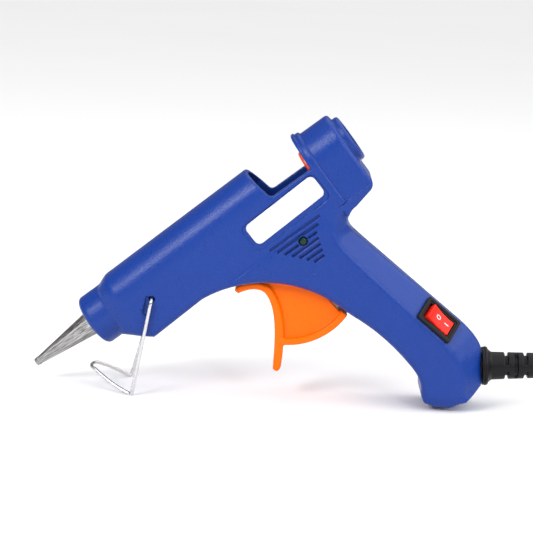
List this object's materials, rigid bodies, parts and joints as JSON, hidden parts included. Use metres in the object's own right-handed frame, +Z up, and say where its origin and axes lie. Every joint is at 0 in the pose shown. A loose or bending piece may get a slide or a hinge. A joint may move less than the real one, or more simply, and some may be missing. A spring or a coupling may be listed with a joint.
{
  "type": "glue gun",
  "caption": "Small mains hot glue gun with an orange trigger, steel nozzle, fold-out wire stand, rocker switch and a coiled power cord with plug.",
  "frame": {"origin": "on the floor under the middle of the standing gun, its cord not counted; the gun stands on the two heels of its wire stand and on the foot of its handle", "axes": "+Z up; +X from the nozzle towards the cord; Y across the gun, with the switch on the -Y side"},
  "size_m": [0.3422, 0.0386, 0.0969],
  "materials": {
    "blue_abs": "finely grained moulded ABS, satin",
    "orange_abs": "moulded ABS, satin",
    "red_plastic": "polished rocker",
    "flame_plastic": "moulded, satin",
    "black_plastic": "moulded, satin",
    "white_plastic": "moulded, satin",
    "label_white": "blank printed plate, matte",
    "green_lens": "translucent lens",
    "nozzle_steel": "turned, streaked lengthwise",
    "wire_steel": "bright plated wire",
    "sheet_steel": "zinc plated",
    "cast_aluminium": "die cast",
    "heater_ceramic": "heater wrapped in a white insulating sleeve",
    "silicone": "translucent silicone",
    "brass": "bright",
    "black_rubber": "matte PVC",
    "circuit_board": "solder mask",
    "resistor_body": "lacquered",
    "wire_brown": "insulation",
    "wire_red": "insulation",
    "wire_blue": "insulation"
  },
  "bodies": {
    "gun_body": {"shell_left": "blue_abs", "shell_right": "blue_abs", "nozzle": "nozzle_steel", "nose_insulator": "black_plastic", "melt_chamber": "cast_aluminium", "heater_block": "heater_ceramic", "heater_strap": "sheet_steel", "stick_sleeve": "silicone", "sleeve_clip": "sheet_steel", "inlet_guide": "black_plastic", "trigger_pin": "sheet_steel", "trigger_spring": "wire_steel", "switch_housing": "black_plastic", "switch_terminal_in": "brass", "switch_terminal_out": "brass", "led_lamp": "green_lens", "led_board": "circuit_board", "led_resistor": "resistor_body", "label_plate": "label_white", "screw_front": "sheet_steel", "screw_middle": "sheet_steel", "screw_head": "sheet_steel", "screw_neck": "sheet_steel", "screw_foot": "sheet_steel", "cord_boot": "black_rubber", "cord_clamp": "white_plastic", "clamp_screw_left": "sheet_steel", "clamp_screw_right": "sheet_steel", "wire_live": "wire_brown", "wire_switched": "wire_red", "wire_neutral": "wire_blue", "cord_run": "black_rubber", "cord_hank": "black_rubber", "cord_tie": "black_plastic", "cord_tail": "black_rubber", "plug_body": "black_plastic", "plug_pin_left": "brass", "plug_pin_right": "brass"},
    "trigger_lever": {"trigger": "orange_abs"},
    "stick_feeder": {"feeder_ring": "flame_plastic", "feeder_sled": "black_plastic", "feeder_pin": "sheet_steel"},
    "rocker": {"switch_rocker": "red_plastic"},
    "stand": {"stand_wire": "wire_steel"}
  },
  "joints": [
    {"name": "trigger_pull", "type": "hinge", "parent": "gun_body", "child": "trigger_lever", "pos_m": [-0.00524, 0, 0.04334], "axis": [0, -1, 0], "range_deg": [0, 18], "stiffness_Nm_per_rad": 0.06, "springref_deg": -28.65, "deforming": ["trigger_spring"]},
    {"name": "feeder_slide", "type": "slide", "parent": "gun_body", "child": "stick_feeder", "axis": [-0.7738, 0, -0.6334], "range_m": [0, 0.00555]},
    {"name": "rocker_tilt", "type": "hinge", "parent": "gun_body", "child": "rocker", "pos_m": [0.04524, -0.00694, 0.03027], "axis": [-0.4243, -0.7067, -0.5662], "range_deg": [0, 16]},
    {"name": "stand_swing", "type": "hinge", "parent": "gun_body", "child": "stand", "pos_m": [-0.05011, 0, 0.03311], "axis": [0, -1, 0], "range_deg": [0, 75]}
  ],
  "couplings": [
    {"joint": "feeder_slide", "follows": "trigger_pull", "m_per_rad": 0.0176}
  ]
}
